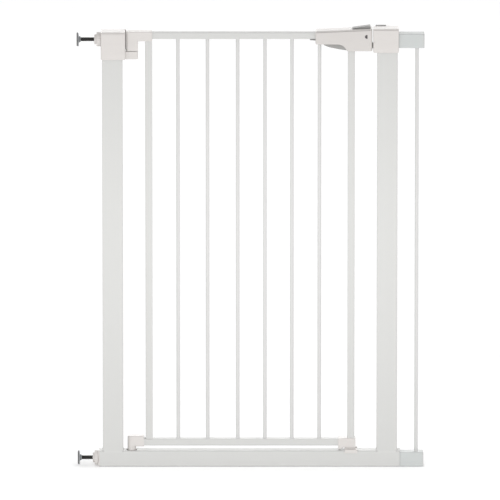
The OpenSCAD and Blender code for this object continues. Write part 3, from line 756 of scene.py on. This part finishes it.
lo, hi = corners("thumb_slider")
left, right, gap, crown = 247.2, 291.8, 0.25, 1111.1
wedge = [(left, top_of_handle(left) + gap, 0.4), (right, top_of_handle(right) + gap, 0.4),
         (right, crown, 1.6), (286.5, crown, 5), (left, 1105.4, 1.2)]
wedge = prism(wedge, "y", lo.y, hi.y, 1.6, 1.6)
stem = block((262, -4, 1099), (275, 4, 1106))
catch = block((258, -7, 1097.4), (279, 7, 1100.4))
place("thumb_slider_wedge", join(wedge, stem, catch), "thumb_slider", grey_nylon, ["thumb_slider"])
print("controls: 2")

# %% [markdown]
# ## Spindles
# Each spindle is a rod with a rolled M10 thread, a pressed disc on its wall end and a
# ribbed wheel that runs it in and out. The thread is a true helix of 1.5 mm pitch: the rod's
# surface is a grid of points, and each point's radius comes from how far it has turned and
# travelled.


# %% Threaded rods
def threaded_rod(name, node, body):
    lo, hi = corners(node)
    centre = (lo.z + hi.z) / 2
    pitch, crest, root, around = 1.5, 5.0, 4.15, 24
    rows = int((hi.x - lo.x) / (pitch / 6))
    rings = []
    for r in range(rows + 1):
        x = lo.x + (hi.x - lo.x) * r / rows
        ring = []
        for i in range(around):
            turn_part = i / around
            phase = ((x - lo.x) / pitch - turn_part) % 1
            radius = root + (crest - root) * min(1, 2.4 * abs(phase - 0.5))
            if x > hi.x - 1.5:
                radius = min(radius, crest - (x - hi.x + 1.5))
            ring.append((x, radius * math.cos(2 * math.pi * turn_part),
                         centre + radius * math.sin(2 * math.pi * turn_part)))
        rings.append(ring)
    place(name, loft(rings), body, black_steel, [node], 75)


threaded_rod("upper_spindle_thread", "upper_spindle_rod", "upper_spindle")
threaded_rod("lower_spindle_thread", "lower_spindle_rod", "lower_spindle")
print("threads: M10, pitch 1.5 mm")


# %% Discs, pads and wheels
def disc(prefix, body):
    lo, hi = corners(prefix + "_spindle_disc")
    z = (lo.z + hi.z) / 2
    radius = (hi.z - lo.z) / 2
    plate = [(lo.x, radius - 2.0), (lo.x, radius - 0.5), (lo.x + 0.5, radius), (lo.x + 1.6, radius),
             (lo.x + 2.4, radius - 0.7), (lo.x + 2.9, radius - 2.6)]
    neck = [(lo.x + 3.0, 8.4), (lo.x + 3.6, 7.6), (lo.x + 6.0, 7.4), (hi.x, 6.9), (hi.x, 5.05)]
    pressed = turned(plate + neck, "x", (0, z), 56)
    place(prefix + "_disc_pressed", pressed, body, disc_steel, [prefix + "_spindle_disc"])
    lo, hi = corners(prefix + "_wall_pad")
    radius = (hi.z - lo.z) / 2
    face = [(lo.x + 0.5, radius - 8), (lo.x, radius - 7), (lo.x, radius - 0.8), (lo.x + 0.6, radius),
            (hi.x, radius)]
    pad = turned(face, "x", (0, z), 56)
    place(prefix + "_pad_rubber", pad, body, pad_rubber, [prefix + "_wall_pad"])


WHEEL_RIBS, WHEEL_RADIUS = 24, 16.5


def wheel(name, node, body, collar_end):
    lo, hi = corners(node)
    z = (lo.z + hi.z) / 2
    rib = ((-5.6, 0.0), (-3.6, 0.55), (-1.6, 0.78), (1.6, 0.78), (3.6, 0.55), (5.6, 0.0))
    outline = []
    for i in range(WHEEL_RIBS):
        for aside, rise in rib:
            angle = math.radians(360 / WHEEL_RIBS * i + aside)
            radius = WHEEL_RADIUS + rise
            outline.append((radius * math.cos(angle), z + radius * math.sin(angle), 0))
    rim = prism(outline, "x", collar_end, hi.x, 1.0, 0.8, 3)
    neck = [(lo.x, 9.4), (lo.x, 11.4), (lo.x + 1.0, 12.4), (collar_end + 0.5, 12.5)]
    collar = turned(neck, "x", (0, z), 48)
    bore = turned([(lo.x - 1, 5.1), (hi.x + 1, 5.1)], "x", (0, z), 32)
    place(name, cut(join(rim, collar), bore), body, white_abs, [node])


disc("upper", "upper_spindle")
disc("lower", "lower_spindle")
wheel("upper_nut_wheel", "upper_nut", "upper_nut", -374.8)
wheel("lower_nut_wheel", "lower_nut", "lower_nut", -382.1)
print("wheels:", WHEEL_RIBS, "ribs each")

# %% [markdown]
# ## Extension
# An extension widens the gate on the latch side: two short lengths of tube with one bar
# between them. It is sprayed in another batch and reads a shade greyer. Moulded caps close
# the outer ends, with a mouth for a second pair of spindles.

# %% Extension tubes and caps
for name, node in (("extension_top_tube", "ext_top_tube"), ("extension_bottom_tube", "ext_bottom_tube")):
    box_tube(name, node, "x", 3.0, 1.2, extension_coat, "frame")
for name, node in (("extension_top_end", "ext_top_cap"), ("extension_bottom_end", "ext_bottom_cap")):
    lo, hi = corners(node)
    z = (lo.z + hi.z) / 2
    end = prism(rect(-14, lo.z, 14, hi.z, 3.2), "x", hi.x - 3, hi.x, 0.2, 1.2)
    end = cut(end, turned([(hi.x - 6, 5.2), (hi.x + 1, 5.2)], "x", (0, z), 32))
    place(name, end, "frame", grey_abs, [node])
print("extension: 2 tubes, 1 bar, 2 ends")

# %% [markdown]
# ## Screws and springs
# Pan-head screws with a cross recess hold the shells and caps from the rear. The springs
# inside the handle are wound from round wire, so each is a helix swept by a small circle.


# %% Screws
def screw(name, node, body):
    lo, hi = corners(node)
    x, z = (lo.x + hi.x) / 2, (lo.z + hi.z) / 2
    radius = (hi.x - lo.x) / 2
    shank = [(lo.y, radius * 0.5), (hi.y - 2.4, radius * 0.5)]
    pan = [(hi.y - 2.4, radius - 0.1), (hi.y - 1.4, radius), (hi.y - 0.7, radius * 0.88),
           (hi.y - 0.25, radius * 0.55), (hi.y - 0.2, 0.01)]
    reach, half_slot, slot_depth = radius * 0.55, 0.35, 1.5
    across = block((x - reach, hi.y - slot_depth, z - half_slot), (x + reach, hi.y + 1, z + half_slot))
    upright = block((x - half_slot, hi.y - slot_depth, z - reach), (x + half_slot, hi.y + 1, z + reach))
    head = cut(turned(shank + pan, "y", (x, z), 32), across, upright)
    place(name, head, body, zinc_steel, [node])


screw("hinge_cap_screw", "hinge_screw", "frame")
screw("latch_cap_screw", "latch_screw", "frame")
for i in (1, 2, 3):
    screw(f"handle_screw_{i}_pan", f"handle_screw_{i}", "door")
print("screws: 5")


# %% Springs
def coil(name, node, body, axis, centre, outer_radius, turns_count, wire=0.35):
    lo, hi = corners(node)
    along = {"x": 0, "y": 1}[axis]
    start, end = lo[along] + wire, hi[along] - wire
    per_turn, around = 16, 8
    steps = turns_count * per_turn
    rings = []
    for i in range(steps + 1):
        a = 2 * math.pi * i / per_turn
        w = start + (end - start) * i / steps
        ring = []
        for j in range(around):
            b = 2 * math.pi * j / around
            reach = outer_radius - wire + wire * math.cos(b)
            ring.append(TURN[axis](centre[0] + reach * math.cos(a), centre[1] + reach * math.sin(a),
                                   w + wire * math.sin(b)))
        rings.append(ring)
    place(name, loft(rings), body, zinc_steel, [node], 60)


lo, hi = corners("slider_spring")
coil("slider_spring_coil", "slider_spring", "door", "x", ((lo.y + hi.y) / 2, (lo.z + hi.z) / 2), 2.0, 12)
coil("trigger_spring_coil", "trigger_spring", "door", "y", (168, 1072.4), 3.3, 4)
print("springs: 2")

# %% [markdown]
# ## Pieces kept from the model
# The pins, studs, plugs, the bolt and the pocket's liner already have their true shape, and
# most of them are hidden. They keep their mesh and only get a finish.

# %% Finish the remaining pieces
KEPT = {
    "upper_hinge_pin": zinc_steel, "lower_hinge_pin": zinc_steel,
    "trigger_pin": zinc_steel, "cam_pin": zinc_steel,
    "striker_plate": zinc_steel, "ext_top_stud": zinc_steel, "ext_bottom_stud": zinc_steel,
    "ext_top_plug": grey_abs, "ext_bottom_plug": grey_abs, "latch_bolt": white_abs}
for node, finish in KEPT.items():
    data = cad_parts[node].data
    data.materials.clear()
    data.materials.append(finish)
print("kept pieces:", len(KEPT))

# %% [markdown]
# ## Floor
# A plain pale floor under the gate, lit from below as a light table is, leaves only a trace
# of contact shadow. It is one wide sheet with a slow unevenness in tone, like paint. The glow
# is a weak emission of the sheet itself.

# %% Floor
floor_material, tree = new_material("painted_studio_floor")
place_of = add(tree, "ShaderNodeTexCoord").outputs["Object"]
mottle = add(tree, "ShaderNodeTexNoise", {"Vector": place_of}, {"Scale": 1.5, "Detail": 4.0})
paint = add(tree, "ShaderNodeMix", {"Factor": mottle.outputs["Fac"]}, data_type="RGBA")
paint.inputs["A"].default_value = linear("#FAFAFA")
paint.inputs["B"].default_value = linear("#F7F7F7")
shader = add(tree, "ShaderNodeBsdfPrincipled", {"Base Color": paint.outputs["Result"]},
             {"Roughness": 0.9, "Specular IOR Level": 0.1, "Emission Color": (1, 1, 1, 1),
              "Emission Strength": 0.13})
add(tree, "ShaderNodeOutputMaterial", {"Surface": shader.outputs["BSDF"]})
sheet = bmesh.new()
bmesh.ops.create_grid(sheet, x_segments=8, y_segments=8, size=60)
floor_data = bpy.data.meshes.new("studio_floor")
sheet.to_mesh(floor_data)
floor_data.materials.append(floor_material)
studio_floor = bpy.data.objects.new("studio_floor", floor_data)
studio_floor.location.z = cad_box[0][2] - 0.0005
scene.collection.objects.link(studio_floor)
print("floor is 0.5 mm under the base rail")
